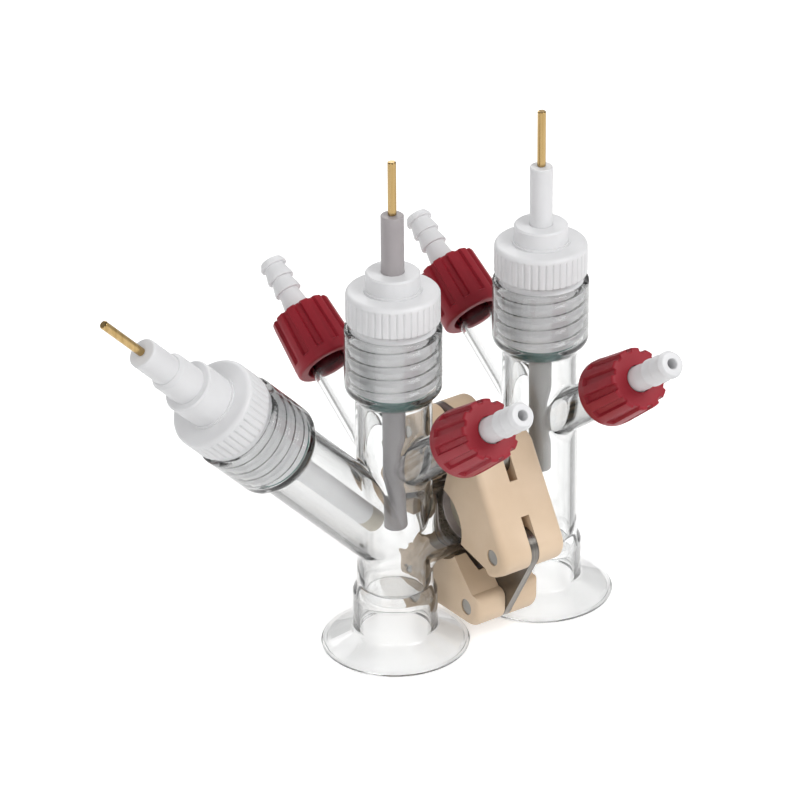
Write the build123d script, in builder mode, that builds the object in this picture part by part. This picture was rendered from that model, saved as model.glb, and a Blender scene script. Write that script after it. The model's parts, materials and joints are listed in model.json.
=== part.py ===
from build123d import *
from math import atan2, cos, degrees, pi, radians, sin, sqrt, tan
import os

os.makedirs("parts", exist_ok=True)

# Electrochemical H-cell in millimetres. Two glass half-cells stand side by side and are joined
# by a flanged tube under a three-segment chain clamp. +Z is up, +X runs from half-cell A to
# half-cell B, and the origin is the centre of half-cell A's foot, on the table.

# Glass half-cells
cell_pitch = 54.6
tube_r = 11.5
tube_wall = 2.2
floor_z = 18.9
floor_thick = 2.5
foot_cover = 1.2
floor_round = 1.3
foot_r = 22.75
foot_rim = 1.7
foot_ring = 1.3
foot_bevel_r = 21.0
foot_bevel_z = 2.1
foot_cone_z = 5.6
foot_blend = 1.2
neck_r = 12.8
neck_wall = 2.1
neck_drop = 0.4
shoulder_len = 2.9
joint_blend = 2.5

# Threaded heads, measured from the rim downwards
top_rim_z = 106.5
head_r = 14.6
head_wall = 2.1
head_len = 19.8
head_taper = 3.3
head_bore_len = 19.0
head_cone_len = 5.0
head_edge = 0.6

# Large arm of half-cell A
arm_root_z = 36.3
arm_angle = 45.0
arm_len = 80.0

# Small arms, one to the front and one to the back of each half-cell
side_root_z = 57.2
side_angle = 36.0
side_r = 6.2
side_wall = 1.8
side_len = 53.2
side_thread_r = 7.0
side_thread_len = 11.5

# Flanged joint between the half-cells
joint_z = 36.4
stub_r = 11.4
flange_r = 16.8
flange_thick = 3.3
flange_cone_angle = 15.0
gasket_r = 17.8
gasket_thick = 2.55
membrane_thick = 0.3
membrane_rim = 1.0

# Threaded plugs, glands and O-rings
thread_play = 0.2
plug_gap = 1.7
plug_head_r = 14.05
plug_head_len = 10.3
plug_head_chamfer = 0.8
plug_head_round = 1.4
knurl_len = 9.0
knurl_count = 40
knurl_depth = 0.45
plug_nose = 20.3
plug_nose_r = 10.6
plug_nose_len = 2.0
plug_spigot_len = 4.0
o_ring_r = 8.2
o_ring_section = 1.7
o_ring_play = 0.12
gland_r = 8.15
gland_foot_r = 8.7
gland_foot_len = 0.7
gland_len = 5.8
gland_edge = 0.5
gland_spigot_r = 5.6
gland_spigot_len = 4.0
arm_gland_len = 10.9

# Electrodes
rod_r = 3.45
rod_play = 0.08
rod_a_bottom_z = 39.7
rod_b_bottom_z = 42.3
sleeve_a_top_z = 142.5
sleeve_b_top_z = 143.1
sleeve_joint = 6.0
contact_r = 1.3
contact_a_len = 17.0
contact_b_len = 17.8
contact_root = 8.0
contact_root_r = 1.0
contact_neck = 0.25
reference_tip = 10.4
frit_len = 6.0
reference_cap_r = 5.9
reference_cap_len = 10.0
reference_neck_r = 4.6
reference_neck_len = 11.4
reference_chamfer = 1.0
reference_contact_len = 17.9

# Screw caps with hose barbs
cap_len = 19.1
cap_rim_r = 10.3
cap_top_r = 9.45
cap_band = 3.8
cap_roof = 2.0
cap_edge = 1.0
cap_grooves = 10
cap_groove_width = 1.9
cap_groove_depth = 0.8
cap_play = 0.25
cap_gasket = 2.0
barb_flange = 2.1
barb_flange_r = 6.6
barb_base_r = 3.9
barb_foot = 2.6
barb_base_len = 7.3
barb_root_r = 3.65
barb_ring_r = 4.2
barb_tip_r = 3.45
barb_tip_len = 2.25
barb_pitch = 4.6
barb_rings = 3
barb_bore_r = 1.6

# Chain clamp
clamp_width = 23.0
clamp_outer = 29.7
clamp_inner = 18.2
clamp_half = 20.8
clamp_corner = 6.2
clamp_inner_corner = 2.6
clamp_edge = 2.2
clamp_bore_play = 0.9
clamp_groove_r = 18.6
clamp_wedge = 3.3
clamp_seat_play = 0.1
chain_pin_t = 14.5
chain_pin_n = 23.5
chain_pin_r = 2.5
chain_pin_recess = 0.4
chain_slot = 2.9
chain_slot_end = 5.5
link_thick = 2.6
link_r = 6.2
pin_play = 0.03

# Swing bolt that closes the chain
bolt_r = 2.0
bolt_slot = 4.4
bolt_len = 43.0
bolt_eye_r = 4.6
bolt_tab_len = 8.4
saddle_seat_r = 31.0
saddle_thick = 2.0
saddle_width = 13.0
seat_play = 0.4
nut_r = 6.0
nut_len = 7.0
nut_knurls = 24
nut_play = 0.03


def half_section(axis_plane, points, rounds=()):
    """Closed face beside an axis: points are (radius, height), rounds are (radius, height, corner)."""
    side = Plane(origin=axis_plane.origin, x_dir=axis_plane.x_dir, z_dir=-axis_plane.y_dir)
    with BuildSketch(side) as face:
        with BuildLine():
            Polyline(*points, close=True)
        make_face()
        for radius, height, corner in rounds:
            fillet(face.vertices().sort_by_distance((radius, height))[0], corner)
    return face.sketch


def turned(axis_plane, points, rounds=()):
    """Solid of revolution about the plane's own axis."""
    with BuildPart() as body:
        revolve(half_section(axis_plane, points, rounds), axis=Axis(axis_plane.origin, axis_plane.z_dir))
    return body.part


def along(root, direction, distance, across):
    """Plane on a straight axis at a distance from its root, facing along it."""
    axis = Vector(*direction)
    return Plane(origin=Vector(*root) + axis * distance, x_dir=across, z_dir=axis)


def named(part, name):
    """Label a finished piece and write it out."""
    part.label = name
    export_step(part, f"parts/{name}.step")


# Axes. Each port plane lies on the rim of its head and faces outwards.
arm_tilt = radians(arm_angle)
side_tilt = radians(side_angle)
arm_axis = (-sin(arm_tilt), 0, cos(arm_tilt))
top_a = Plane(origin=(0, 0, top_rim_z), x_dir=(1, 0, 0), z_dir=(0, 0, 1))
top_b = Plane(origin=(cell_pitch, 0, top_rim_z), x_dir=(1, 0, 0), z_dir=(0, 0, 1))
arm_root = (0, 0, arm_root_z)
arm_a = along(arm_root, arm_axis, arm_len, (0, 1, 0))
joint_mid = cell_pitch / 2
joint = Plane(origin=(joint_mid, 0, joint_z), x_dir=(0, 0, 1), z_dir=(1, 0, 0))


def side_plane(axis_x, way, distance):
    """Plane on a small arm: way is -1 for the front arm and 1 for the back arm."""
    direction = (0, way * cos(side_tilt), sin(side_tilt))
    return along((axis_x, 0, side_root_z), direction, distance, (1, 0, 0))


# Derived heights of the half-cell
tube_bore = tube_r - tube_wall
neck_top = floor_z - neck_drop
shoulder_top = neck_top + shoulder_len
neck_bore = neck_r - neck_wall
head_bore = head_r - head_wall
foot_slope = (foot_cone_z - foot_bevel_z) / (foot_bevel_r - neck_r)
foot_flat_r = foot_r - foot_rim / 2
foot_inner_r = foot_flat_r - foot_ring
bell_top_z = foot_slope * (foot_inner_r - neck_bore)
gap_half = gasket_thick + membrane_thick / 2
flange_tan = tan(radians(flange_cone_angle))
flange_back = gap_half + flange_thick


def head_outline(root_len):
    """Outer half-section of a tube that ends in a threaded head, from root_len below the rim."""
    return [
        (0, -root_len),
        (tube_r, -root_len),
        (tube_r, -head_len - head_taper),
        (head_r, -head_len),
        (head_r, 0),
        (0, 0),
    ]


def head_cavity(root_len):
    """Inner half-section of the same tube: bore, cone under the thread and threaded mouth."""
    return [
        (0, -root_len),
        (tube_bore, -root_len),
        (tube_bore, -head_bore_len - head_cone_len),
        (head_bore, -head_bore_len),
        (head_bore, 1),
        (0, 1),
    ]


def head_rounds(inner):
    """Corners of the head where the tube widens."""
    if inner:
        return [(tube_bore, -head_bore_len - head_cone_len, 1.5), (head_bore, -head_bore_len, 1.5)]
    return [
        (tube_r, -head_len - head_taper, 2.0),
        (head_r, -head_len, 2.0),
        (head_r, 0, head_edge),
    ]


def half_cell(axis_x, stub_way, with_arm):
    """Glass body of one half-cell: foot, neck, tube, head, small arms, flanged stub and large arm."""
    rim = Plane(origin=(axis_x, 0, top_rim_z), x_dir=(1, 0, 0), z_dir=(0, 0, 1))
    table = Plane(origin=(axis_x, 0, 0), x_dir=(1, 0, 0), z_dir=(0, 0, 1))
    sides = [side_plane(axis_x, way, 0) for way in (-1, 1)]
    stub = Plane(origin=(axis_x, 0, joint_z), x_dir=(0, 0, 1), z_dir=(stub_way, 0, 0))
    face_x = joint_mid - gap_half
    back_x = joint_mid - flange_back
    with BuildPart() as glass:
        # Upper tube with its head, and the small arms that flare into it
        add(turned(rim, head_outline(top_rim_z - shoulder_top), head_rounds(False)))
        for side in sides:
            add(turned(side, [(0, 0), (side_r, 0), (side_r, side_len), (0, side_len)]))
        flare = glass.edges().filter_by(lambda edge: is_flare(edge, axis_x))
        fillet(flare, joint_blend)
        for side in sides:
            start = side_len - side_thread_len
            outline = [(0, start), (side_r, start), (side_thread_r, start + 0.8)]
            outline += [(side_thread_r, side_len), (0, side_len)]
            add(turned(side, outline, [(side_thread_r, side_len, head_edge)]))
        # Shoulder, neck and foot
        foot = [
            (0, floor_z - floor_thick),
            (neck_bore, floor_z - floor_thick),
            (neck_bore, bell_top_z),
            (foot_inner_r, 0),
            (foot_flat_r, 0),
            (foot_r, foot_rim / 2),
            (foot_flat_r, foot_rim),
            (foot_bevel_r, foot_bevel_z),
            (neck_r, foot_cone_z),
            (neck_r, neck_top),
            (tube_r, shoulder_top),
            (0, shoulder_top),
        ]
        corners = [
            (neck_bore, floor_z - floor_thick, 1.5),
            (neck_bore, bell_top_z, foot_blend),
            (foot_r, foot_rim / 2, 0.6),
            (neck_r, foot_cone_z, foot_blend),
            (neck_r, neck_top, 1.5),
            (tube_r, shoulder_top, 1.5),
        ]
        add(turned(table, foot, corners))
        # Horizontal stub with its conical flange
        flange = [
            (0, 0),
            (stub_r, 0),
            (stub_r, back_x - (flange_r - stub_r) * flange_tan),
            (flange_r, back_x),
            (flange_r, face_x),
            (0, face_x),
        ]
        add(turned(stub, flange, [(flange_r, back_x, 1.0), (flange_r, face_x, 0.4)]))
        # Large arm with its own head
        if with_arm:
            add(turned(arm_a, head_outline(arm_len), head_rounds(False)))
        # Cavities
        add(
            turned(rim, head_cavity(top_rim_z - floor_z), head_rounds(True) + floor_corner()),
            mode=Mode.SUBTRACT,
        )
        bore = [(0, 0), (stub_r - tube_wall, 0), (stub_r - tube_wall, face_x + 1), (0, face_x + 1)]
        add(turned(stub, bore), mode=Mode.SUBTRACT)
        for side in sides:
            inner = side_r - side_wall
            add(turned(side, [(0, 0), (inner, 0), (inner, side_len + 1), (0, side_len + 1)]), mode=Mode.SUBTRACT)
        if with_arm:
            add(turned(arm_a, head_cavity(arm_len), head_rounds(True)), mode=Mode.SUBTRACT)
    return glass.part


def floor_corner():
    """Rounded corner between the vessel's floor and its wall."""
    return [(tube_bore, floor_z - top_rim_z, floor_round)]


def is_flare(edge, axis_x):
    """Seam between a small arm and the tube: a curve that stays close to the tube's surface."""
    if edge.geom_type in (GeomType.LINE, GeomType.CIRCLE):
        return False
    spots = [edge @ t for t in (0.1, 0.35, 0.6, 0.85)]
    off = [abs(sqrt((p.X - axis_x) ** 2 + p.Y**2) - tube_r) for p in spots]
    return max(off) < 0.05 and max(p.Z for p in spots) < top_rim_z - head_len


def cut_level(glass, keep):
    """Half-cell above or below the middle of its floor, where the foot joins the vessel."""
    level = Plane(origin=(0, 0, floor_z - floor_thick + foot_cover), x_dir=(1, 0, 0), z_dir=(0, 0, 1))
    with BuildPart() as side:
        add(glass)
        split(bisect_by=level, keep=keep)
    return side.part


for half, axis_x, stub_way, with_arm in (("a", 0, 1, True), ("b", cell_pitch, -1, False)):
    glass = half_cell(axis_x, stub_way, with_arm)
    named(cut_level(glass, Keep.TOP), f"glass_body_{half}")
    named(cut_level(glass, Keep.BOTTOM), f"glass_foot_{half}")


# Membrane between two ring gaskets, inside the flanged joint
def ring(plane, inner, outer, low, high):
    """Flat ring between two heights on a plane's axis."""
    return turned(plane, [(inner, low), (outer, low), (outer, high), (inner, high)])


stub_bore = stub_r - tube_wall
named(ring(joint, stub_bore, gasket_r, -gap_half, -membrane_thick / 2), "flange_gasket_a")
named(ring(joint, stub_bore, gasket_r, membrane_thick / 2, gap_half), "flange_gasket_b")
with BuildPart() as membrane:
    with BuildSketch(joint):
        Circle(gasket_r - membrane_rim)
    extrude(amount=membrane_thick / 2, both=True)
named(membrane.part, "membrane")

# Threaded plugs. Heights are measured from the rim of the head, so negative ones lie inside it.
plug_r = head_bore - thread_play
plug_top = plug_gap + plug_head_len
nose_low = -plug_nose
spigot_r = o_ring_r - o_ring_section - o_ring_play
bore_r = rod_r + rod_play
gland_well_r = gland_spigot_r + o_ring_play


def plug(rim):
    """Plug with a spigot for the O-ring, a threaded body and a knurled head."""
    outline = [
        (bore_r, nose_low - plug_spigot_len),
        (spigot_r, nose_low - plug_spigot_len),
        (spigot_r, nose_low),
        (plug_nose_r, nose_low),
        (plug_r, nose_low + plug_nose_len),
        (plug_r, plug_gap),
        (plug_head_r - plug_head_chamfer, plug_gap),
        (plug_head_r, plug_gap + plug_head_chamfer),
        (plug_head_r, plug_top),
        (gland_well_r, plug_top),
        (gland_well_r, plug_top - gland_spigot_len - rod_play),
        (bore_r, plug_top - gland_spigot_len - rod_play),
    ]
    knurl = Plane(origin=rim.origin + rim.z_dir * plug_gap, x_dir=rim.x_dir, z_dir=rim.z_dir)
    with BuildPart() as body:
        add(turned(rim, outline, [(plug_head_r, plug_top, plug_head_round)]))
        with BuildSketch(knurl):
            with PolarLocations(plug_head_r, knurl_count):
                Rectangle(knurl_depth * sqrt(2), knurl_depth * sqrt(2), rotation=45)
        extrude(amount=knurl_len, mode=Mode.SUBTRACT)
    return body.part


def gland(rim, length):
    """Collar on the plug's top face, with a spigot in the plug's well."""
    outline = [
        (bore_r, plug_top - gland_spigot_len),
        (gland_spigot_r, plug_top - gland_spigot_len),
        (gland_spigot_r, plug_top),
        (gland_foot_r, plug_top),
        (gland_foot_r, plug_top + gland_foot_len),
        (gland_r, plug_top + gland_foot_len),
        (gland_r, plug_top + length - gland_edge),
        (gland_r - gland_edge, plug_top + length),
        (bore_r, plug_top + length),
    ]
    return turned(rim, outline)


def o_ring(rim):
    """O-ring under the plug's shoulder, round its spigot."""
    height = nose_low - o_ring_section - o_ring_play
    seat = Plane(origin=rim.origin + rim.z_dir * height, x_dir=rim.x_dir, z_dir=rim.z_dir)
    side = Plane(origin=seat.origin, x_dir=seat.x_dir, z_dir=-seat.y_dir)
    with BuildPart() as body:
        with BuildSketch(side):
            with Locations((o_ring_r, 0)):
                Circle(o_ring_section)
        revolve(axis=Axis(seat.origin, seat.z_dir))
    return body.part


for port, rim, gland_height in (("a_top", top_a, gland_len), ("b_top", top_b, gland_len), ("a_arm", arm_a, arm_gland_len)):
    named(plug(rim), f"plug_{port}")
    named(gland(rim, gland_height), f"gland_{port}")
    named(o_ring(rim), f"o_ring_{port}")


def rounded_rod(rim, radius, low, high, low_round=0.0, high_round=0.0):
    """Plain rod on a port's axis with optional rounded ends."""
    rounds = [(radius, low, low_round)] if low_round else []
    rounds += [(radius, high, high_round)] if high_round else []
    return turned(rim, [(0, low), (radius, low), (radius, high), (0, high)], rounds)


def sleeve(rim, low, high):
    """Insulating sleeve round the upper end of an electrode, bored for its contact pin."""
    outline = [
        (0, low),
        (rod_r, low),
        (rod_r, high),
        (contact_root_r, high),
        (contact_root_r, high - contact_root),
        (0, high - contact_root),
    ]
    return turned(rim, outline, [(rod_r, high, 0.4)])


def contact_pin(rim, seat, pin_len):
    """Contact pin that stands on a seat, with a thinner root inside the holder."""
    outline = [
        (0, seat - contact_root),
        (contact_root_r, seat - contact_root),
        (contact_root_r, seat + contact_neck),
        (contact_r, seat + contact_neck),
        (contact_r, seat + pin_len),
        (0, seat + pin_len),
    ]
    return turned(rim, outline, [(contact_r, seat + pin_len, 0.4)])


# Electrodes of the two vertical ports: rod below, sleeve above, contact pin on top
sleeve_low = -sleeve_joint
upright = (
    ("a_top", top_a, rod_a_bottom_z, sleeve_a_top_z, contact_a_len),
    ("b_top", top_b, rod_b_bottom_z, sleeve_b_top_z, contact_b_len),
)
for port, rim, bottom_z, sleeve_z, pin_len in upright:
    sleeve_top = sleeve_z - top_rim_z
    named(rounded_rod(rim, rod_r, bottom_z - top_rim_z, sleeve_low, low_round=0.4), f"rod_{port}")
    named(sleeve(rim, sleeve_low, sleeve_top), f"sleeve_{port}")
    named(contact_pin(rim, sleeve_top, pin_len), f"contact_{port}")

# Reference electrode of the large arm: frit tip, stem, stepped cap and contact pin
frit_low = reference_tip - arm_len
frit_high = frit_low + frit_len
gland_top = plug_top + arm_gland_len
cap_high = gland_top + reference_cap_len
neck_high = cap_high + reference_neck_len
named(rounded_rod(arm_a, rod_r, frit_low, frit_high, low_round=0.6), "reference_frit")
named(rounded_rod(arm_a, rod_r, frit_high, gland_top), "reference_stem")
reference_outline = [
    (0, gland_top),
    (reference_cap_r, gland_top),
    (reference_cap_r, cap_high - reference_chamfer),
    (reference_cap_r - reference_chamfer, cap_high),
    (reference_neck_r, cap_high),
    (reference_neck_r, neck_high),
    (contact_root_r, neck_high),
    (contact_root_r, neck_high - contact_root),
    (0, neck_high - contact_root),
]
named(turned(arm_a, reference_outline, [(reference_neck_r, neck_high, 0.6)]), "reference_cap")
named(contact_pin(arm_a, neck_high, reference_contact_len), "contact_a_arm")

# Screw caps, barbs and gaskets of the small arms. Heights are measured from the glass mouth.
flange_top = cap_gasket + barb_flange
cap_ceiling = flange_top + rod_play
cap_top = cap_ceiling + cap_roof
cap_low = cap_top - cap_len
barb_base_top = cap_top + barb_base_len
barb_top = barb_base_top + (barb_rings - 1) * barb_pitch + barb_tip_len


def screw_cap(mouth):
    """Moulded cap: smooth band, tapered grip with grooves, flat top with a hole for the barb."""
    hole_r = barb_base_r + cap_play
    outline = [
        (side_thread_r + cap_play, cap_low),
        (cap_rim_r, cap_low),
        (cap_rim_r, cap_low + cap_band),
        (cap_top_r, cap_top),
        (hole_r, cap_top),
        (hole_r, cap_ceiling),
        (side_thread_r + cap_play, cap_ceiling),
    ]
    rounds = [(cap_rim_r, cap_low, cap_edge), (cap_top_r, cap_top, cap_edge)]
    base = Plane(origin=mouth.origin + mouth.z_dir * (cap_low + cap_band), x_dir=mouth.x_dir, z_dir=mouth.z_dir)
    lean = degrees(atan2(cap_rim_r - cap_top_r, cap_len - cap_band))
    with BuildPart() as body:
        add(turned(mouth, outline, rounds))
        for step in range(cap_grooves):
            turn = base.rotated((0, 0, step * 360 / cap_grooves))
            floor = Plane(origin=turn.origin + turn.x_dir * cap_rim_r, x_dir=turn.y_dir, z_dir=turn.z_dir)
            with BuildSketch(floor.rotated((-lean, 0, 0))):
                Rectangle(cap_groove_width, 2 * cap_groove_depth)
            extrude(amount=cap_len, mode=Mode.SUBTRACT)
    return body.part


def hose_barb(mouth):
    """Hose barb with a sealing flange under the cap's roof and stepped rings above it."""
    outline = [(barb_bore_r, cap_gasket), (barb_flange_r, cap_gasket), (barb_flange_r, flange_top)]
    outline += [(barb_base_r, flange_top), (barb_base_r, cap_top + barb_foot)]
    for step in range(barb_rings):
        corner = barb_base_top + step * barb_pitch
        outline += [(barb_root_r, corner), (barb_ring_r, corner)]
    outline += [(barb_tip_r, barb_top), (barb_bore_r, barb_top)]
    return turned(mouth, outline)


for name, axis_x, way in (("a_front", 0, -1), ("a_back", 0, 1), ("b_front", cell_pitch, -1), ("b_back", cell_pitch, 1)):
    mouth = side_plane(axis_x, way, side_len)
    named(screw_cap(mouth), f"cap_{name}")
    named(hose_barb(mouth), f"barb_{name}")
    named(ring(mouth, barb_bore_r, barb_flange_r, 0, cap_gasket), f"cap_gasket_{name}")


# Chain clamp. A segment's own plane has its x along the chain, its y outwards from the joint's
# axis and its z along -X.
def segment_plane(angle):
    """Plane through the joint's centre for the segment at an angle above +Y."""
    turn = radians(angle)
    return Plane(origin=(joint_mid, 0, joint_z), x_dir=(0, -sin(turn), cos(turn)), z_dir=(-1, 0, 0))


def pin_point(angle, way):
    """Centre of a segment's hinge pin, in the joint's mid plane."""
    return segment_plane(angle).from_local_coords((way * chain_pin_t, chain_pin_n, 0))


angle_back = 30.0
angle_front = 150.0
angle_low = -90.0
clamp_bore = stub_r + clamp_bore_play
seat_half = flange_back + clamp_seat_play
groove_out = seat_half - (clamp_groove_r - flange_r) * flange_tan
groove_in = seat_half + (flange_r - clamp_bore) * flange_tan
wall_angle = radians(60) - clamp_wedge / clamp_bore
pivot = pin_point(angle_low, 1)
far_pin = pin_point(angle_back, -1)
bolt_line = (far_pin - pivot).normalized()
bolt_plane = Plane(origin=pivot, x_dir=(1, 0, 0), z_dir=bolt_line)


def x_rod(center, radius, length):
    """Round bar along X, centred on a point."""
    with BuildPart() as body:
        with BuildSketch(Plane(origin=center, x_dir=(0, 1, 0), z_dir=(1, 0, 0))):
            Circle(radius)
        extrude(amount=length / 2, both=True)
    return body.part


def slab(plane, x_span, y_span, z_span):
    """Box between two corners given in a plane's own axes."""
    low = Vector(x_span[0], y_span[0], z_span[0])
    size = (x_span[1] - x_span[0], y_span[1] - y_span[0], z_span[1] - z_span[0])
    corner = plane.from_local_coords(low)
    with BuildPart(Plane(origin=corner, x_dir=plane.x_dir, z_dir=plane.z_dir)) as body:
        Box(*size, align=(Align.MIN, Align.MIN, Align.MIN))
    return body.part


def bolt_seat():
    """Room for the washer and nut beyond the cylindrical seat round the bolt's pivot."""
    half = saddle_width / 2 + seat_play
    reach = 2 * clamp_outer
    with BuildPart() as body:
        add(slab(bolt_plane, (-half, half), (-nut_r - seat_play - 0.3, reach), (saddle_seat_r / 2, reach)))
        add(x_rod(pivot, saddle_seat_r, clamp_width), mode=Mode.SUBTRACT)
    return body.part


def rounded_block(face):
    """Block of a segment's outer size whose outer corners and side edges are rounded."""
    with BuildPart() as block:
        with BuildSketch(face) as side:
            with Locations((0, clamp_outer / 2)):
                Rectangle(2 * clamp_half, clamp_outer)
            for way in (-1, 1):
                fillet(side.vertices().sort_by_distance((way * clamp_half, clamp_outer))[0], clamp_corner)
        extrude(amount=clamp_width / 2, both=True)
        rims = block.edges().filter_by(lambda edge: is_outer_rim(edge, face))
        fillet(rims, clamp_edge)
    return block.part


def is_outer_rim(edge, face):
    """Edge between a side face and the outer face or an end."""
    spot = face.to_local_coords(edge @ 0.5)
    return abs(abs(spot.Z) - clamp_width / 2) < 0.01 and spot.Y > 0.01


def segment(angle, hinge_ways, bolt_way):
    """Clamp segment: grooved inside for the flanges, slotted at both ends for links or bolt."""
    face = segment_plane(angle)
    wall_t = clamp_bore * sin(wall_angle)
    wall_n = clamp_bore * cos(wall_angle)
    neck_t = clamp_half - clamp_inner_corner - 0.7
    outline = [
        (-clamp_half, clamp_outer),
        (-clamp_half, clamp_inner),
        (-neck_t, clamp_inner),
        (-wall_t, wall_n),
        (wall_t, wall_n),
        (neck_t, clamp_inner),
        (clamp_half, clamp_inner),
        (clamp_half, clamp_outer),
    ]
    with BuildPart() as body:
        with BuildSketch(face) as side:
            with BuildLine():
                Polyline(*outline, close=True)
            make_face()
            for way in (-1, 1):
                fillet(side.vertices().sort_by_distance((way * clamp_half, clamp_outer))[0], clamp_corner)
                fillet(side.vertices().sort_by_distance((way * clamp_half, clamp_inner))[0], clamp_inner_corner)
        extrude(amount=clamp_width / 2, both=True)
        add(rounded_block(face), mode=Mode.INTERSECT)
        groove = [
            (0, -clamp_width),
            (clamp_bore, -clamp_width),
            (clamp_bore, -groove_in),
            (clamp_groove_r, -groove_out),
            (clamp_groove_r, groove_out),
            (clamp_bore, groove_in),
            (clamp_bore, clamp_width),
            (0, clamp_width),
        ]
        add(turned(joint, groove), mode=Mode.SUBTRACT)
        for way in hinge_ways:
            spans = sorted((way * chain_slot_end, way * 2 * clamp_half))
            half = chain_slot / 2
            add(slab(face, spans, (0, 2 * clamp_outer), (-half, half)), mode=Mode.SUBTRACT)
            add(x_rod(pin_point(angle, way), chain_pin_r + pin_play, 2 * clamp_width), mode=Mode.SUBTRACT)
        if bolt_way:
            half = bolt_slot / 2
            reach = 2 * clamp_outer
            add(slab(bolt_plane, (-half, half), (-half - seat_play, reach), (0, reach)), mode=Mode.SUBTRACT)
            add(bolt_seat(), mode=Mode.SUBTRACT)
    return body.part


named(segment(angle_front, (-1, 1), 0), "clamp_segment_front")
named(segment(angle_low, (-1, 1), 0), "clamp_segment_low")
named(segment(angle_back, (1,), 1), "clamp_segment_back")


def link(start, end):
    """Flat link plate round two pins."""
    run = end - start
    mid = Plane(origin=start, x_dir=run.normalized(), z_dir=(1, 0, 0))
    with BuildPart() as body:
        with BuildSketch(mid):
            with Locations((run.length / 2, 0)):
                SlotCenterToCenter(run.length, 2 * link_r)
            with Locations((0, 0), (run.length, 0)):
                Circle(chain_pin_r + pin_play, mode=Mode.SUBTRACT)
        extrude(amount=link_thick / 2, both=True)
    return body.part


named(link(pin_point(angle_front, 1), pin_point(angle_low, -1)), "link_front")
named(link(pin_point(angle_front, -1), pin_point(angle_back, 1)), "link_top")

pins = (
    ("front_low", angle_front, 1),
    ("front_top", angle_front, -1),
    ("back_top", angle_back, 1),
    ("low_front", angle_low, -1),
    ("low_back", angle_low, 1),
)
for name, angle, way in pins:
    named(x_rod(pin_point(angle, way), chain_pin_r, clamp_width - 2 * chain_pin_recess), f"chain_pin_{name}")

# Swing bolt: eye on the low segment's back pin, flat tab in its slot, then a round shank
with BuildPart() as bolt:
    add(x_rod(pivot, bolt_eye_r, link_thick))
    add(slab(bolt_plane, (-link_thick / 2, link_thick / 2), (-bolt_r, bolt_r), (0, bolt_tab_len)))
    add(rounded_rod(bolt_plane, bolt_r, bolt_tab_len, bolt_len, high_round=0.5))
    add(x_rod(pivot, chain_pin_r + pin_play, clamp_width), mode=Mode.SUBTRACT)
named(bolt.part, "swing_bolt")

# Saddle washer with a hollow underside that follows the seat
saddle_top = saddle_seat_r + saddle_thick
with BuildPart() as saddle:
    with BuildSketch(Plane(origin=pivot + bolt_line * saddle_top, x_dir=(1, 0, 0), z_dir=bolt_line)):
        RectangleRounded(saddle_width, 2 * nut_r, 1.5)
        Circle(bolt_r + nut_play, mode=Mode.SUBTRACT)
    extrude(amount=-2 * saddle_thick)
    add(x_rod(pivot, saddle_seat_r + nut_play, 2 * clamp_width), mode=Mode.SUBTRACT)
named(saddle.part, "saddle_washer")

# Knurled thumb nut on the washer
nut_outline = [
    (bolt_r + nut_play, saddle_top),
    (nut_r - 0.4, saddle_top),
    (nut_r, saddle_top + 0.4),
    (nut_r, saddle_top + nut_len - 0.6),
    (nut_r - 0.6, saddle_top + nut_len),
    (bolt_r + nut_play, saddle_top + nut_len),
]
with BuildPart() as nut:
    add(turned(bolt_plane, nut_outline))
    with BuildSketch(Plane(origin=pivot + bolt_line * saddle_top, x_dir=(1, 0, 0), z_dir=bolt_line)):
        with PolarLocations(nut_r, nut_knurls):
            Rectangle(0.5, 0.5, rotation=45)
    extrude(amount=nut_len, mode=Mode.SUBTRACT)
named(nut.part, "thumb_nut")
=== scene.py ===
import json
from math import cos, pi, radians, sin

import bpy
import numpy as np
from mathutils import Matrix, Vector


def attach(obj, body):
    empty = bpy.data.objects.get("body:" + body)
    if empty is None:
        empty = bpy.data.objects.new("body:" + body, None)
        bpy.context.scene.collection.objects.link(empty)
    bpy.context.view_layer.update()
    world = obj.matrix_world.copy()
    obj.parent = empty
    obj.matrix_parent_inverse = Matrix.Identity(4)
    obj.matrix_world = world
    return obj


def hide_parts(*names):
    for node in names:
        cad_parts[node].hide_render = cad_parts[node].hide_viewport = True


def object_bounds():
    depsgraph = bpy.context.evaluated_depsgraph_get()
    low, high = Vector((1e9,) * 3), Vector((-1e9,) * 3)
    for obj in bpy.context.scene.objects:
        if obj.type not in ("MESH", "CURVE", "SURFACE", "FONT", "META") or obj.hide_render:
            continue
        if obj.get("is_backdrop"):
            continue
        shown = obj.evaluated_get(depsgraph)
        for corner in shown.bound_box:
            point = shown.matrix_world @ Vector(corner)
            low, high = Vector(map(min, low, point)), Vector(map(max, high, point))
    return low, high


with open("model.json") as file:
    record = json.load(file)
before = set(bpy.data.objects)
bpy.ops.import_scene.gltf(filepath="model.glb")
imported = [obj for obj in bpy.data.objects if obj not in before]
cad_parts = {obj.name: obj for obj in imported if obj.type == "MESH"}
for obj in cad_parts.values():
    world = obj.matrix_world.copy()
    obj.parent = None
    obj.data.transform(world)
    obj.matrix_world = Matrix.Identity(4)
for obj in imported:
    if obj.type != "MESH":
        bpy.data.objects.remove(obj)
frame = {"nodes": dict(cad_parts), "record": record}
cad_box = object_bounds()
scene = bpy.context.scene

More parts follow.
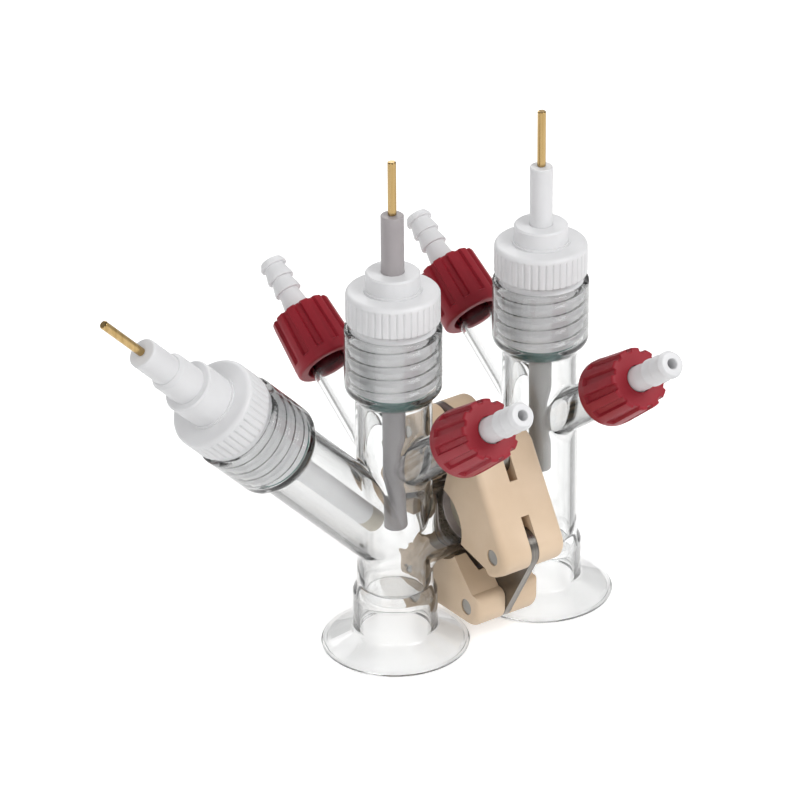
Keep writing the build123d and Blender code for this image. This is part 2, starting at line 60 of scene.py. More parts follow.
# Half-cells in millimetres, as in the solids
MM = 0.001
PITCH_X = 54.6
TUBE_R = 11.5
TUBE_BORE = 9.3
TUBE_ROOT_Z = 24.5
FLOOR_TOP = 18.9
FLOOR_BOTTOM = 16.4
NECK_R = 12.8
NECK_BORE = 10.7
NECK_TOP = 18.5
SHOULDER_TOP = 21.4
FOOT_R = 22.75
SEAM_Z = 17.65
RIM_Z = 106.5
ARM_ROOT_Z = 36.3
ARM_LEN = 80.0
ARM_TILT = radians(45)
SIDE_ROOT_Z = 57.2
SIDE_LEN = 53.2
SIDE_TILT = radians(36)
SIDE_R = 6.2
SIDE_BORE = 4.4
SIDE_BAND_R = 7.0
SIDE_BAND_LEN = 11.5
JOINT_Z = 36.4
JOINT_X = PITCH_X / 2
STUB_R = 11.4
STUB_BORE = 9.2
FLANGE_R = 16.8
FLANGE_THICK = 3.3
FLANGE_CONE = 1.45
HALF_GAP = 2.7

# Threaded heads and plugs, heights from the rim
HEAD_R = 14.6
HEAD_LEN = 19.8
HEAD_TAPER = 3.3
HEAD_BORE_LEN = 19.0
HEAD_CONE_LEN = 5.0
MOUTH_R = 12.6
THREAD_PITCH = 4.3
THREAD_LOW = -18.6
GLASS_ROOT_R = 12.85
GLASS_THREAD = 0.75
GLASS_THREAD_HIGH = -1.0
PLUG_ROOT_R = 11.75
PLUG_THREAD = 0.95
PLUG_BODY_R = 12.3
PLUG_NOSE_R = 10.6
PLUG_NOSE = -20.3
PLUG_SPIGOT_R = 6.38
PLUG_SPIGOT = -24.3
PLUG_BORE = 3.53
PLUG_HEAD_R = 14.05
PLUG_HEAD_Z = 1.7
PLUG_TOP = 12.0
SOCKET_R = 5.72
SOCKET_Z = 7.92
KNURLS = 40
KNURL_DEPTH = 0.42
KNURL_TOP = 10.6

# Screw caps and hose barbs, heights from the mouth of the small arm
CAP_BORE = 7.25
CAP_HOLE = 4.15
CAP_RIM_R = 10.3
CAP_TOP_R = 9.45
CAP_MOUTH = -12.92
CAP_BAND = -9.1
CAP_ROOF = 4.18
CAP_TOP = 6.18
CAP_FACE_R = 7.8
CAP_RIBS = 12
CAP_RIB_LOW = -9.6
CAP_GROOVE = 0.95
BARB_BORE = 1.6
BARB_FLANGE_R = 6.6
BARB_FLANGE = (2.0, 4.1)
BARB_BASE_R = 3.9
BARB_BASE = 8.78
BARB_RINGS = (13.48, 18.08, 22.68)
BARB_ROOT_R = 3.15
BARB_RING_R = 4.2
BARB_LAND = 0.75
BARB_TIP_R = 3.45
BARB_TOP = 24.93

# Places of the camera and of the point that the lights aim at, in metres
CAMERA_AT = (-0.8121, -1.1292, 0.7974)
CAMERA_LENS = 237.8
LIGHT_AIM = (0.02, 0, 0.07)


def axis_frame(origin, direction, across):
    """Rows: origin, x axis, y axis and z axis of a port or arm."""
    z = np.array(direction, float)
    z /= np.linalg.norm(z)
    x = np.array(across, float)
    x -= z * x.dot(z)
    x /= np.linalg.norm(x)
    return np.array([np.array(origin, float), x, np.cross(z, x), z])


def upright_frame(axis_x, height):
    """Frame on a half-cell's upright axis."""
    return axis_frame((axis_x, 0, height), (0, 0, 1), (1, 0, 0))


def side_frame(axis_x, way, distance):
    """Frame on a small arm at a distance from the tube's axis."""
    direction = np.array([0, way * cos(SIDE_TILT), sin(SIDE_TILT)])
    root = np.array([axis_x, 0, SIDE_ROOT_Z])
    return axis_frame(root + direction * distance, direction, (1, 0, 0))


ARM_DIR = np.array([-sin(ARM_TILT), 0, cos(ARM_TILT)])
ARM_ROOT = np.array([0, 0, ARM_ROOT_Z])
PORTS = {
    "a_top": upright_frame(0, RIM_Z),
    "b_top": upright_frame(PITCH_X, RIM_Z),
    "a_arm": axis_frame(ARM_ROOT + ARM_DIR * ARM_LEN, ARM_DIR, (0, 1, 0)),
}
SIDES = {
    "a_front": side_frame(0, -1, SIDE_LEN),
    "a_back": side_frame(0, 1, SIDE_LEN),
    "b_front": side_frame(PITCH_X, -1, SIDE_LEN),
    "b_back": side_frame(PITCH_X, 1, SIDE_LEN),
}


# Camera at the photograph's viewing angle
def set_place(thing, x, y, z, place):
    """Give an object its axes and place in the world."""
    matrix = Matrix.Identity(4)
    for row in range(3):
        matrix[row][0] = x[row]
        matrix[row][1] = y[row]
        matrix[row][2] = z[row]
        matrix[row][3] = place[row]
    thing.matrix_world = matrix


def place_camera():
    azimuth = radians(35.80)
    elevation = radians(27.22)
    roll = radians(-0.437)
    forward = np.array([sin(azimuth) * cos(elevation), cos(azimuth) * cos(elevation), -sin(elevation)])
    level = np.array([cos(azimuth), -sin(azimuth), 0])
    upright = np.cross(level, forward)
    right = level * cos(roll) + upright * sin(roll)
    data = bpy.data.cameras.new("camera")
    data.sensor_width = 36
    data.lens = CAMERA_LENS
    data.clip_end = 50
    camera = bpy.data.objects.new("camera", data)
    set_place(camera, right, np.cross(right, forward), -forward, CAMERA_AT)
    scene.collection.objects.link(camera)
    scene.camera = camera


place_camera()


# Mesh helpers
def make_object(name, points, faces, material, body, replaced, normals=None, sharp=None):
    """Object from millimetre points that rides on a body and stands for CAD nodes."""
    mesh = bpy.data.meshes.new(name)
    mesh.from_pydata((np.asarray(points) * MM).tolist(), [], [list(face) for face in faces])
    mesh.validate()
    mesh.materials.append(material)
    piece = bpy.data.objects.new(name, mesh)
    scene.collection.objects.link(piece)
    mesh.shade_smooth()
    if sharp:
        mesh.set_sharp_from_angle(angle=radians(sharp))
    if normals is not None:
        mesh.normals_split_custom_set_from_vertices(normals.tolist())
    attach(piece, body)
    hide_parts(*replaced)


def rounded(corners, steps):
    """Closed outline from (r, h, corner radius) corners, with arcs of steps + 1 points."""
    out = []
    count = len(corners)
    for i in range(count):
        here = np.array(corners[i][:2], float)
        before = np.array(corners[i - 1][:2], float) - here
        after = np.array(corners[(i + 1) % count][:2], float) - here
        radius = corners[i][2] if len(corners[i]) > 2 else 0
        if not radius:
            out.append(here)
            continue
        la, lb = np.linalg.norm(before), np.linalg.norm(after)
        ua, ub = before / la, after / lb
        half = np.arccos(np.clip(ua.dot(ub), -1, 1)) / 2
        run = min(radius / np.tan(half), 0.49 * la, 0.49 * lb)
        radius = run * np.tan(half)
        middle = here + (ua + ub) / np.linalg.norm(ua + ub) * radius / np.sin(half)
        start = here + ua * run - middle
        end = here + ub * run - middle
        a0 = np.arctan2(start[1], start[0])
        turn = np.arctan2(end[1], end[0]) - a0
        turn = (turn + pi) % (2 * pi) - pi
        for k in range(steps + 1):
            a = a0 + turn * k / steps
            out.append(middle + radius * np.array([cos(a), sin(a)]))
    return np.array(out)


def divided(outline, longest, beyond):
    """The same closed outline with no run beyond a radius longer than a given length."""
    out = []
    for i in range(len(outline)):
        a, b = outline[i], outline[(i + 1) % len(outline)]
        parts = 1
        if min(a[0], b[0]) > beyond:
            parts = max(1, int(np.ceil(np.linalg.norm(b - a) / longest)))
        for k in range(parts):
            out.append(a + (b - a) * k / parts)
    return np.array(out)


def lathe(outline, place, segments, shape=None, closed=True):
    """Points and faces of an outline turned about a frame's z axis.

    shape(r, h, angle) gives the radius of each point, for threads, knurls and ribs.
    """
    angle = np.linspace(0, 2 * pi, segments, endpoint=False)
    r = np.repeat(outline[:, 0:1], segments, axis=1)
    h = np.repeat(outline[:, 1:2], segments, axis=1)
    a = np.repeat(angle[None, :], len(outline), axis=0)
    if shape:
        r = shape(r, h, a)
    points = place[0] + (r * np.cos(a))[..., None] * place[1]
    points = points + (r * np.sin(a))[..., None] * place[2] + h[..., None] * place[3]
    rows = len(outline)
    faces = []
    for i in range(rows if closed else rows - 1):
        j = (i + 1) % rows
        for k in range(segments):
            m = (k + 1) % segments
            faces.append((i * segments + k, i * segments + m, j * segments + m, j * segments + k))
    return points.reshape(-1, 3), faces


def eased(x):
    """Smooth step from 0 to 1."""
    x = np.clip(x, 0, 1)
    return x * x * (3 - 2 * x)


# Materials
def new_material(name):
    material = bpy.data.materials.new(name)
    material.use_nodes = True
    nodes = material.node_tree.nodes
    return material, nodes, material.node_tree.links, nodes["Principled BSDF"]


def ramp(nodes, stops):
    """Colour ramp through (position, colour) stops."""
    node = nodes.new("ShaderNodeValToRGB")
    elements = node.color_ramp.elements
    for place, _ in stops[1:-1]:
        elements.new(place)
    for stop, (place, colour) in zip(elements, stops):
        stop.position = place
        stop.color = (*colour, 1)
    return node


def noise(nodes, links, vector, scale, detail):
    node = nodes.new("ShaderNodeTexNoise")
    node.inputs["Scale"].default_value = scale
    node.inputs["Detail"].default_value = detail
    links.new(vector, node.inputs["Vector"])
    return node.outputs["Fac"]


def two_tones(nodes, links, shader, pattern, edge, dark, light):
    """Base colour that goes from dark to light as a pattern goes from edge to 1 - edge."""
    tone = ramp(nodes, ((edge, dark), (1 - edge, light)))
    links.new(pattern, tone.inputs["Fac"])
    links.new(tone.outputs["Color"], shader.inputs["Base Color"])


def finish_surface(nodes, links, shader, pattern, smooth, rough, bump, depth):
    """Roughness between two values and a fine relief, both from one pattern."""
    polish = nodes.new("ShaderNodeMapRange")
    polish.inputs["To Min"].default_value = smooth
    polish.inputs["To Max"].default_value = rough
    links.new(pattern, polish.inputs["Value"])
    links.new(polish.outputs["Result"], shader.inputs["Roughness"])
    relief = nodes.new("ShaderNodeBump")
    relief.inputs["Strength"].default_value = bump
    relief.inputs["Distance"].default_value = depth
    links.new(pattern, relief.inputs["Height"])
    links.new(relief.outputs["Normal"], shader.inputs["Normal"])


def polymer(name, dark, light, roughness, grain, bump, scatter=0.0, gloss=0.5):
    """Plastic or rubber: colour varies softly between two tones, with a fine grain in the gloss."""
    material, nodes, links, shader = new_material(name)
    place = nodes.new("ShaderNodeTexCoord").outputs["Object"]
    two_tones(nodes, links, shader, noise(nodes, links, place, 55.0, 4.0), 0.35, dark, light)
    shader.inputs["Specular IOR Level"].default_value = gloss
    fine = noise(nodes, links, place, grain, 3.0)
    finish_surface(nodes, links, shader, fine, roughness - 0.05, roughness + 0.07, bump, 0.0002)
    if scatter:
        shader.inputs["Subsurface Weight"].default_value = scatter
        shader.inputs["Subsurface Radius"].default_value = (1.0, 1.0, 1.0)
        shader.inputs["Subsurface Scale"].default_value = 0.0012
    return material


def metal(name, dark, light, roughness, stretch):
    """Metal with fine drawn lines along one direction."""
    material, nodes, links, shader = new_material(name)
    shader.inputs["Metallic"].default_value = 1.0
    scale = nodes.new("ShaderNodeMapping")
    scale.inputs["Scale"].default_value = stretch
    links.new(nodes.new("ShaderNodeTexCoord").outputs["Object"], scale.inputs["Vector"])
    lines = noise(nodes, links, scale.outputs["Vector"], 1.0, 5.0)
    two_tones(nodes, links, shader, lines, 0.3, dark, light)
    finish_surface(nodes, links, shader, lines, roughness - 0.07, roughness + 0.1, 0.06, 0.0001)
    return material


# Colour of the glass, from seen face on (0) to seen edge on (1): a faint tint of the glass face on, then
# painted shade whose dips and dark end paint dark outlines where the wall is seen edge on
GLASS_EDGE_SHADE = (
    (0.0, 0.97),
    (0.15, 0.93),
    (0.25, 0.80),
    (0.36, 0.87),
    (0.46, 0.70),
    (0.62, 0.74),
    (0.80, 0.30),
    (1.0, 0.01),
)


def clear_glass(name):
    """Clear glass with painted shade: its colour darkens into dark outlines where the wall is seen edge on.
    """
    material, nodes, links, shader = new_material(name)
    shader.inputs["Transmission Weight"].default_value = 1.0
    shader.inputs["IOR"].default_value = 1.13
    shader.inputs["Roughness"].default_value = 0.0
    shader.inputs["Coat Weight"].default_value = 0.8
    shader.inputs["Coat Roughness"].default_value = 0.02
    # Painted shade: the base colour follows how edge on the wall is seen, standing in for the dark
    # surroundings that glass shows at its edges
    facing = nodes.new("ShaderNodeLayerWeight")
    facing.inputs["Blend"].default_value = 0.5
    edge_shade = ramp(nodes, [(place, (level * 0.995, level, level * 0.998)) for place, level in GLASS_EDGE_SHADE])
    links.new(facing.outputs["Facing"], edge_shade.inputs["Fac"])
    links.new(edge_shade.outputs["Color"], shader.inputs["Base Color"])
    return material


GLASS = clear_glass("borosilicate_glass")
WHITE = polymer("white_polymer", (0.70, 0.70, 0.71), (0.76, 0.76, 0.77), 0.42, 1500.0, 0.04, scatter=0.15)
CRIMSON = polymer("crimson_plastic", (0.27, 0.01, 0.02), (0.33, 0.015, 0.028), 0.42, 1400.0, 0.06, gloss=0.3)
TEAL = polymer("teal_rubber", (0.05, 0.15, 0.14), (0.08, 0.21, 0.195), 0.5, 1200.0, 0.08, gloss=0.3)
DRAWN = (2200.0, 60.0, 60.0)
DARK_STEEL = metal("dark_steel", (0.13, 0.12, 0.11), (0.24, 0.225, 0.205), 0.28, DRAWN)
MATERIALS = {
    "borosilicate_glass": GLASS,
    "white_polymer": WHITE,
    "crimson_plastic": CRIMSON,
    "teal_rubber": TEAL,
    "grey_rod": polymer("grey_rod", (0.24, 0.225, 0.23), (0.31, 0.29, 0.295), 0.36, 1300.0, 0.04),
    "frit": polymer("frit", (0.44, 0.40, 0.33), (0.62, 0.57, 0.48), 0.7, 2500.0, 0.35),
    "silicone": polymer("silicone", (0.52, 0.46, 0.47), (0.60, 0.54, 0.55), 0.5, 900.0, 0.05),
    "beige_polymer": polymer("beige_polymer", (0.67, 0.505, 0.345), (0.745, 0.575, 0.41), 0.45, 1100.0, 0.07),
    "membrane": polymer("membrane", (0.62, 0.58, 0.46), (0.72, 0.68, 0.56), 0.4, 700.0, 0.05),
    "steel": metal("steel", (0.24, 0.23, 0.215), (0.40, 0.385, 0.365), 0.30, DRAWN),
    "gold": metal("gold", (0.34, 0.225, 0.085), (0.52, 0.37, 0.175), 0.22, (900.0, 900.0, 40.0)),
}
OWN_MATERIALS = {
    "sleeve_a_top": polymer("sleeve_grey", (0.33, 0.305, 0.31), (0.39, 0.36, 0.37), 0.40, 1300.0, 0.04),
    "rod_b_top": polymer("pale_grey_rod", (0.34, 0.335, 0.325), (0.41, 0.40, 0.39), 0.36, 1300.0, 0.04),
    "link_front": DARK_STEEL,
    "link_top": DARK_STEEL,
}

for entry in frame["record"]["subparts"]:
    node = frame["nodes"][entry["node"]]
    node.data.materials.clear()
    node.data.materials.append(OWN_MATERIALS.get(entry["node"], MATERIALS[entry["material_slot"]]))


# Half-cells as distance fields: outer forms blended together, minus blended cavities.
# Their outlines close at a radius past the axis, so that no edge lies inside the form.
PAST_AXIS = -30
STUB_BLEND = 2.5
ARM_BLEND = 2.5
SIDE_BLEND = 3.0
BORE_BLEND = 0.8
EDGE_BLEND = 0.5


def outline_distance(r, h, outline):
    """Signed distance from (r, h) to a closed outline."""
    best = np.full(r.shape, 1e9)
    inside = np.zeros(r.shape, bool)
    for i in range(len(outline)):
        ax, ay = outline[i - 1]
        bx, by = outline[i]
        ex, ey = bx - ax, by - ay
        wx, wy = r - ax, h - ay
        t = np.clip((wx * ex + wy * ey) / max(ex * ex + ey * ey, 1e-12), 0, 1)
        dx, dy = wx - ex * t, wy - ey * t
        best = np.minimum(best, dx * dx + dy * dy)
        if abs(ey) > 1e-12:
            crosses = (ay <= h) != (by <= h)
            inside ^= crosses & (r < ax + (h - ay) / ey * ex)
    return np.where(inside, -1, 1) * np.sqrt(best)


def smooth_min(a, b, k):
    """Union of two distances with a fillet of about k."""
    mix = np.clip(0.5 + 0.5 * (b - a) / k, 0, 1)
    return b + (a - b) * mix - k * mix * (1 - mix)


def smooth_max(a, b, k):
    return -smooth_min(-a, -b, k)


def polar(points, place):
    """Radius, height and angle of points about a frame's z axis."""
    local = (points - place[0]) @ place[1:].T
    return np.hypot(local[:, 0], local[:, 1]), local[:, 2], np.arctan2(local[:, 1], local[:, 0])


def head_outer(root):
    """Outline of a tube with its head, heights from the rim."""
    return rounded(
        [
            (PAST_AXIS, root),
            (TUBE_R, root),
            (TUBE_R, -HEAD_LEN - HEAD_TAPER, 3.0),
            (HEAD_R, -HEAD_LEN, 3.0),
            (HEAD_R, 0, 0.9),
            (MOUTH_R, 0, 0.9),
            (MOUTH_R, -1.2),
            (PAST_AXIS, -1.2),
        ],
        5,
    )


def glass_thread(h, angle):
    """Rounded ridge along a right-hand helix inside a head, faded out at both ends."""
    phase = (h / THREAD_PITCH - angle / (2 * pi)) % 1.0
    ridge = eased(1.0 - np.abs(phase - 0.5) / 0.30)
    fade = np.clip((h - THREAD_LOW) / 1.2, 0, 1) * np.clip((GLASS_THREAD_HIGH - h) / 1.2, 0, 1)
    return ridge * fade


def head_inner(r, h, angle, root, corner):
    """Cavity of a tube with its head: bore, cone and threaded mouth."""
    outline = rounded(
        [
            (PAST_AXIS, root),
            (TUBE_BORE, root, corner),
            (TUBE_BORE, -HEAD_BORE_LEN - HEAD_CONE_LEN, 1.5),
            (GLASS_ROOT_R, -HEAD_BORE_LEN, 1.2),
            (GLASS_ROOT_R, 8.0),
            (PAST_AXIS, 8.0),
        ],
        4,
    )
    ridge = GLASS_THREAD * glass_thread(h, angle) * (r > 9)
    return outline_distance(r + ridge, h, outline)


def side_outer():
    """Outline of a small arm with its plain thread band, heights from the tube's axis."""
    band = SIDE_LEN - SIDE_BAND_LEN
    step = SIDE_BAND_R - SIDE_R
    return rounded(
        [
            (PAST_AXIS, 0),
            (SIDE_R, 0),
            (SIDE_R, band, 0.8),
            (SIDE_BAND_R, band + step, 0.8),
            (SIDE_BAND_R, SIDE_LEN, 0.6),
            (PAST_AXIS, SIDE_LEN),
        ],
        4,
    )


def flange_outer():
    """Outline of the flanged stub, heights from the tube's axis towards the joint."""
    face = JOINT_X - HALF_GAP
    back = face - FLANGE_THICK
    return rounded(
        [
            (PAST_AXIS, 0),
            (STUB_R, 0),
            (STUB_R, back - FLANGE_CONE, 1.5),
            (FLANGE_R, back, 1.0),
            (FLANGE_R, face, 0.4),
            (PAST_AXIS, face),
        ],
        4,
    )


def neck_outer():
    """Outline of the neck above the foot and its shoulder, heights from the table."""
    return rounded(
        [
            (PAST_AXIS, 12.0),
            (NECK_R, 12.0),
            (NECK_R, NECK_TOP, 1.6),
            (TUBE_R, SHOULDER_TOP, 1.6),
            (TUBE_R, 30.0),
            (PAST_AXIS, 30.0),
        ],
        4,
    )


def glass_field(axis_x, stub_way, with_arm):
    """Distance function of one half-cell."""
    rim = upright_frame(axis_x, RIM_Z)
    table = upright_frame(axis_x, 0)
    stub = axis_frame((axis_x, 0, JOINT_Z), (stub_way, 0, 0), (0, 0, 1))
    sides = [side_frame(axis_x, way, 0) for way in (-1, 1)]
    tube, arm = head_outer(TUBE_ROOT_Z - RIM_Z), head_outer(-ARM_LEN)
    neck, flange, side_arm = neck_outer(), flange_outer(), side_outer()

    def field(points):
        r, h, angle = polar(points, rim)
        outer = outline_distance(r, h, tube)
        inner = head_inner(r, h, angle, FLOOR_TOP - RIM_Z, 1.6)
        r, h, angle = polar(points, table)
        outer = np.minimum(outer, outline_distance(r, h, neck))
        r, h, angle = polar(points, stub)
        outer = smooth_min(outer, outline_distance(r, h, flange), STUB_BLEND)
        inner = smooth_min(inner, np.maximum(r - STUB_BORE, -h), BORE_BLEND)
        if with_arm:
            r, h, angle = polar(points, PORTS["a_arm"])
            outer = smooth_min(outer, outline_distance(r, h, arm), ARM_BLEND)
            inner = smooth_min(inner, head_inner(r, h, angle, -ARM_LEN, 0), BORE_BLEND)
        for side in sides:
            r, h, angle = polar(points, side)
            outer = smooth_min(outer, outline_distance(r, h, side_arm), SIDE_BLEND)
            inner = smooth_min(inner, np.maximum(r - SIDE_BORE, -h), BORE_BLEND)
        return smooth_max(outer, -inner, EDGE_BLEND)

    return field


def surface_nets(values, low, step):
    """Vertices and quads of the zero surface of a grid of distances."""
    inside = values < 0
    size = np.array(values.shape)
    stride = np.array([size[1] * size[2], size[2], 1])
    keys = []
    spots = []
    quads = []
    for axis in range(3):
        first = [slice(None)] * 3
        second = [slice(None)] * 3
        first[axis] = slice(0, -1)
        second[axis] = slice(1, None)
        edges = np.argwhere(inside[tuple(first)] != inside[tuple(second)])
        ends = edges.copy()
        ends[:, axis] += 1
        f0 = values[tuple(edges.T)].astype(float)
        f1 = values[tuple(ends.T)].astype(float)
        spot = edges.astype(float)
        spot[:, axis] += f0 / (f0 - f1)
        u, v = (axis + 1) % 3, (axis + 2) % 3
        corners = []
        for du, dv in ((0, 0), (1, 0), (1, 1), (0, 1)):
            cell = edges.copy()
            cell[:, u] -= du
            cell[:, v] -= dv
            key = cell @ stride
            keys.append(key)
            spots.append(spot)
            corners.append(key)
        quad = np.stack(corners, 1)
        back = f0 > 0
        quad[back] = quad[back][:, ::-1]
        quads.append(quad)
    keys = np.concatenate(keys)
    spots = np.concatenate(spots)
    cells, index = np.unique(keys, return_inverse=True)
    count = np.bincount(index)
    vertices = np.stack([np.bincount(index, spots[:, k]) / count for k in range(3)], 1)
    faces = np.searchsorted(cells, np.concatenate(quads))
    return low + vertices * step, faces


def gradient(field, points, reach=0.02):
    out = np.empty_like(points)
    for k in range(3):
        shift = np.zeros(3)
        shift[k] = reach
        out[:, k] = (field(points + shift) - field(points - shift)) / (2 * reach)
    return out


def field_mesh(field, low, high, step):
    """Mesh of a distance field: coarse blocks first, then fine points near the surface."""
    block = 4
    batch = 200000
    low = np.array(low, float)
    blocks = np.ceil((np.array(high) - low) / (step * block)).astype(int)
    centres = (np.stack(np.meshgrid(*[np.arange(n) for n in blocks], indexing="ij"), -1) + 0.5) * block
    coarse = field((low + (centres - 0.5) * step).reshape(-1, 3)).reshape(blocks)
    near = np.abs(coarse) < step * block * 0.87 + 2 * step
    values = np.repeat(np.repeat(np.repeat(coarse, block, 0), block, 1), block, 2).astype(np.float32)
    mask = np.repeat(np.repeat(np.repeat(near, block, 0), block, 1), block, 2)
    index = np.argwhere(mask)
    fine = np.empty(len(index))
    for start in range(0, len(index), batch):
        fine[start : start + batch] = field(low + index[start : start + batch] * step)
    values[mask] = fine
    points, faces = surface_nets(values, low, step)
    for _ in range(3):
        slope = gradient(field, points)
        length = np.maximum((slope**2).sum(1), 0.25)
        move = slope * (field(points) / length)[:, None]
        size = np.linalg.norm(move, axis=1)
        points -= move * np.minimum(1, 0.5 * step / np.maximum(size, 1e-9))[:, None]
    slope = gradient(field, points)
    return points, faces, slope / np.linalg.norm(slope, axis=1)[:, None]


def open_below(points, faces, normals, level, step):
    """The mesh above a level on the upright neck, closed up to that level."""
    faces = faces[(points[:, 2] > level)[faces].all(1)]
    used = np.unique(faces)
    points, normals = points[used], normals[used]
    points[points[:, 2] < level + step, 2] = level
    return points, np.searchsorted(used, faces), normals


GLASS_STEP = 0.72
HALF_CELLS = {
    "a": (glass_field(0, 1, True), (-80.1, -50.1, 14.9), (31, 50, 109)),
    "b": (glass_field(PITCH_X, -1, False), (26.1, -50.1, 14.9), (80, 50, 109)),
}
for name, (field, low, high) in HALF_CELLS.items():
    points, faces, normals = open_below(*field_mesh(field, low, high, GLASS_STEP), SEAM_Z, GLASS_STEP)
    make_object(f"half_cell_{name}", points, faces, GLASS, "cell", (f"glass_body_{name}",), normals)

# Feet with a beaded rim, down from the same level of the neck
foot_outline = rounded(
    [
        (0, FLOOR_BOTTOM),
        (NECK_BORE, FLOOR_BOTTOM, 1.6),
        (NECK_BORE, 4.3, 1.4),
        (20.6, 0.02, 0.3),
        (21.9, 0.0, 0.5),
        (FOOT_R, 0.85, 0.75),
        (22.0, 1.75, 0.45),
        (21.1, 0.9, 0.15),
        (20.5, 2.1, 0.25),
        (NECK_R, 5.6, 1.6),
        (NECK_R, SEAM_Z),
    ],
    6,
)
for name, axis_x in (("a", 0), ("b", PITCH_X)):
    points, faces = lathe(foot_outline, upright_frame(axis_x, 0), 240, closed=False)
    make_object(f"foot_{name}", points, faces, GLASS, "cell", (f"glass_foot_{name}",), sharp=60)


# Threaded plugs with knurled heads
def plug_radius(r, h, angle):
    """Thread on the body and V grooves round the head."""
    body = (r > 12.0) & (r < 12.6) & (h > THREAD_LOW) & (h < 1.5)
    phase = (h / THREAD_PITCH - angle / (2 * pi)) % 1.0
    crest = eased((np.abs(phase - 0.5) - 0.20) / 0.16)
    fade = np.clip(h - THREAD_LOW, 0, 1)
    r = np.where(body, PLUG_ROOT_R + PLUG_THREAD * crest * fade, r)
    head = (r > 13.2) & (h > 1.6)
    step = (angle * KNURLS / (2 * pi)) % 1.0
    groove = np.clip(1 - np.abs(step - 0.5) / 0.16, 0, 1)
    end = np.clip((KNURL_TOP - h) / 0.5, 0, 1)
    return np.where(head, r - KNURL_DEPTH * groove * end, r)


plug_outline = rounded(
    [
        (PLUG_BORE, PLUG_SPIGOT, 0.2),
        (PLUG_SPIGOT_R, PLUG_SPIGOT, 0.4),
        (PLUG_SPIGOT_R, PLUG_NOSE, 0.3),
        (PLUG_NOSE_R, PLUG_NOSE, 0.4),
        (PLUG_BODY_R, PLUG_NOSE + 2.0, 0.3),
        (PLUG_BODY_R, PLUG_HEAD_Z, 0.2),
        (PLUG_HEAD_R - 0.8, PLUG_HEAD_Z, 0.2),
        (PLUG_HEAD_R, PLUG_HEAD_Z + 0.8, 0.3),
        (PLUG_HEAD_R, PLUG_TOP, 1.5),
        (SOCKET_R, PLUG_TOP),
        (SOCKET_R, SOCKET_Z),
        (PLUG_BORE, SOCKET_Z),
    ],
    5,
)
for port, place in PORTS.items():
    points, faces = lathe(divided(plug_outline, 0.43, 11.9), place, 320, plug_radius)
    make_object(f"plug_body_{port}", points, faces, WHITE, f"plug_{port}", (f"plug_{port}",), sharp=40)


# Screw caps
def cap_radius(r, h, angle):
    """Ribs with wide grooves between them, above a round band."""
    step = (angle * CAP_RIBS / (2 * pi)) % 1.0 - 0.5
    groove = eased((np.abs(step) - 0.24) / 0.10)
    rise = np.clip((h - CAP_RIB_LOW) / 0.5, 0, 1) * np.clip((r - 7.9) / 1.1, 0, 1)
    return r - CAP_GROOVE * groove * rise


cap_outline = rounded(
    [
        (CAP_BORE, CAP_MOUTH, 0.4),
        (CAP_RIM_R, CAP_MOUTH, 1.0),
        (CAP_RIM_R, CAP_BAND, 0.5),
        (CAP_TOP_R, CAP_TOP, 0.8),
        (CAP_FACE_R, CAP_TOP),
        (CAP_HOLE, CAP_TOP, 0.2),
        (CAP_HOLE, CAP_ROOF),
        (CAP_BORE, CAP_ROOF),
    ],
    6,
)
for name, place in SIDES.items():
    points, faces = lathe(divided(cap_outline, 0.6, 8.5), place, 288, cap_radius)
    make_object(f"screw_cap_{name}", points, faces, CRIMSON, f"cap_{name}", (f"cap_{name}",), sharp=50)


# Hose barbs with rounded ring crests
def barb_outline():
    """Outline of a barb: flange, base, rings and tip, heights from the mouth."""
    low, high = BARB_FLANGE
    corners = [
        (BARB_BORE, low, 0.1),
        (BARB_FLANGE_R, low, 0.2),
        (BARB_FLANGE_R, high, 0.2),
        (BARB_BASE_R, high),
        (BARB_BASE_R, BARB_BASE, 1.0),
    ]
    for ring in BARB_RINGS:
        corners += [(BARB_ROOT_R, ring, 0.1), (BARB_RING_R, ring, 0.15)]
        corners += [(BARB_RING_R, ring + BARB_LAND, 0.25)]
    corners += [(BARB_TIP_R, BARB_TOP, 0.4), (BARB_BORE, BARB_TOP, 0.3)]
    return rounded(corners, 3)


for name, place in SIDES.items():
    points, faces = lathe(barb_outline(), place, 72)
    make_object(f"barb_tube_{name}", points, faces, WHITE, f"barb_{name}", (f"barb_{name}",), sharp=50)


# Floor, background and soft light
def ray_kinds(nodes, links):
    """1 for rays from the camera, and 1 for rays that left glass or a glossy surface."""
    path = nodes.new("ShaderNodeLightPath")
    through = nodes.new("ShaderNodeMath")
    through.operation = "MAXIMUM"
    links.new(path.outputs["Is Transmission Ray"], through.inputs[0])
    links.new(path.outputs["Is Glossy Ray"], through.inputs[1])
    return path.outputs["Is Camera Ray"], through.outputs["Value"]


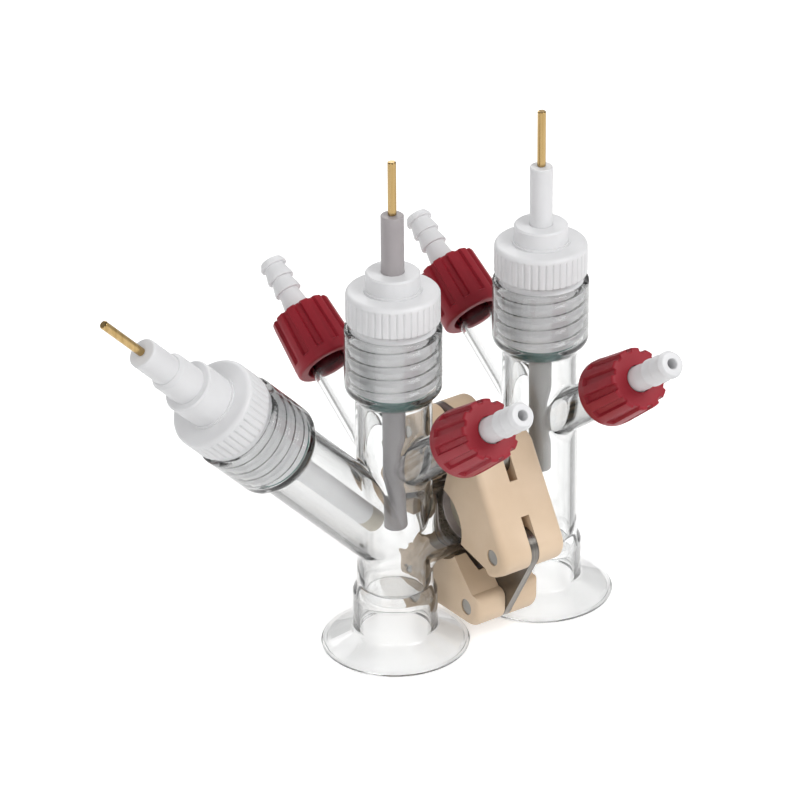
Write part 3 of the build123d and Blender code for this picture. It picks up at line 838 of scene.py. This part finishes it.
def make_floor():
    """Pale floor that camera, glass and metal see as white, a little darker far away."""
    mesh = bpy.data.meshes.new("floor")
    mesh.from_pydata([(-6, -6, 0), (6, -6, 0), (6, 6, 0), (-6, 6, 0)], [], [(0, 1, 2, 3)])
    floor = bpy.data.objects.new("floor", mesh)
    floor.location = (0, 0, -0.0001)
    scene.collection.objects.link(floor)
    floor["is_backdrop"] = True
    material, nodes, links, shader = new_material("floor")
    shader.inputs["Base Color"].default_value = (0.86, 0.86, 0.86, 1)
    shader.inputs["Roughness"].default_value = 0.9
    reach = nodes.new("ShaderNodeVectorMath")
    reach.operation = "LENGTH"
    links.new(nodes.new("ShaderNodeNewGeometry").outputs["Position"], reach.inputs[0])
    falloff = nodes.new("ShaderNodeMapRange")
    falloff.inputs["From Min"].default_value = 0.25
    falloff.inputs["From Max"].default_value = 0.8
    falloff.inputs["To Min"].default_value = 0.60
    falloff.inputs["To Max"].default_value = 0.05
    links.new(reach.outputs["Value"], falloff.inputs["Value"])
    seen, through = ray_kinds(nodes, links)
    dim = nodes.new("ShaderNodeMath")
    dim.operation = "MULTIPLY"
    links.new(through, dim.inputs[0])
    links.new(falloff.outputs["Result"], dim.inputs[1])
    glow = nodes.new("ShaderNodeMath")
    glow.operation = "MULTIPLY_ADD"
    glow.inputs[1].default_value = 0.50
    links.new(seen, glow.inputs[0])
    links.new(dim.outputs["Value"], glow.inputs[2])
    shader.inputs["Emission Color"].default_value = (1, 1, 1, 1)
    links.new(glow.outputs["Value"], shader.inputs["Emission Strength"])
    floor.data.materials.append(material)


# Brightness that glass and metal show, from level (0) to straight above (1)
SKY = ((0.0, 0.85), (0.12, 0.80), (0.35, 0.35), (1.0, 0.22))


def make_world():
    """White seen directly, soft light on surfaces, and a darker top for glass and metal to show."""
    world = bpy.data.worlds.new("studio")
    scene.world = world
    world.use_nodes = True
    nodes, links = world.node_tree.nodes, world.node_tree.links
    nodes.clear()
    seen, through = ray_kinds(nodes, links)
    split = nodes.new("ShaderNodeSeparateXYZ")
    links.new(nodes.new("ShaderNodeTexCoord").outputs["Generated"], split.inputs["Vector"])
    sky = ramp(nodes, [(height, (level, level, level)) for height, level in SKY])
    links.new(split.outputs["Z"], sky.inputs["Fac"])
    soft, mirrored, white = [nodes.new("ShaderNodeBackground") for _ in range(3)]
    for shade, strength in ((soft, 0.52), (mirrored, 1.0), (white, 1.0)):
        shade.inputs["Color"].default_value = (1, 1, 1, 1)
        shade.inputs["Strength"].default_value = strength
    links.new(sky.outputs["Color"], mirrored.inputs["Color"])
    below = soft
    for ray, shade in ((through, mirrored), (seen, white)):
        mix = nodes.new("ShaderNodeMixShader")
        links.new(ray, mix.inputs[0])
        links.new(below.outputs[0], mix.inputs[1])
        links.new(shade.outputs[0], mix.inputs[2])
        below = mix
    out = nodes.new("ShaderNodeOutputWorld")
    links.new(below.outputs[0], out.inputs["Surface"])


def area_light(name, place, size, power):
    """Soft light aimed at the middle of the object."""
    data = bpy.data.lights.new(name, "AREA")
    data.shape = "RECTANGLE"
    data.size, data.size_y = size
    data.energy = power
    lamp = bpy.data.objects.new(name, data)
    scene.collection.objects.link(lamp)
    way = np.array(place, float) - np.array(LIGHT_AIM, float)
    way /= np.linalg.norm(way)
    x = np.cross((0, 0, 1), way)
    x /= np.linalg.norm(x)
    set_place(lamp, x, np.cross(way, x), way, place)


make_floor()
make_world()
area_light("key", (0.35, -0.85, 0.95), (0.6, 0.6), 7.6)
area_light("fill", (-0.9, -0.5, 0.55), (0.5, 0.7), 2.4)
area_light("back", (0.3, 0.9, 0.7), (0.7, 0.5), 3.2)
scene.view_settings.view_transform = "Standard"

boxes = [[list(map(float, corner)) for corner in box] for box in (cad_box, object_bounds())]
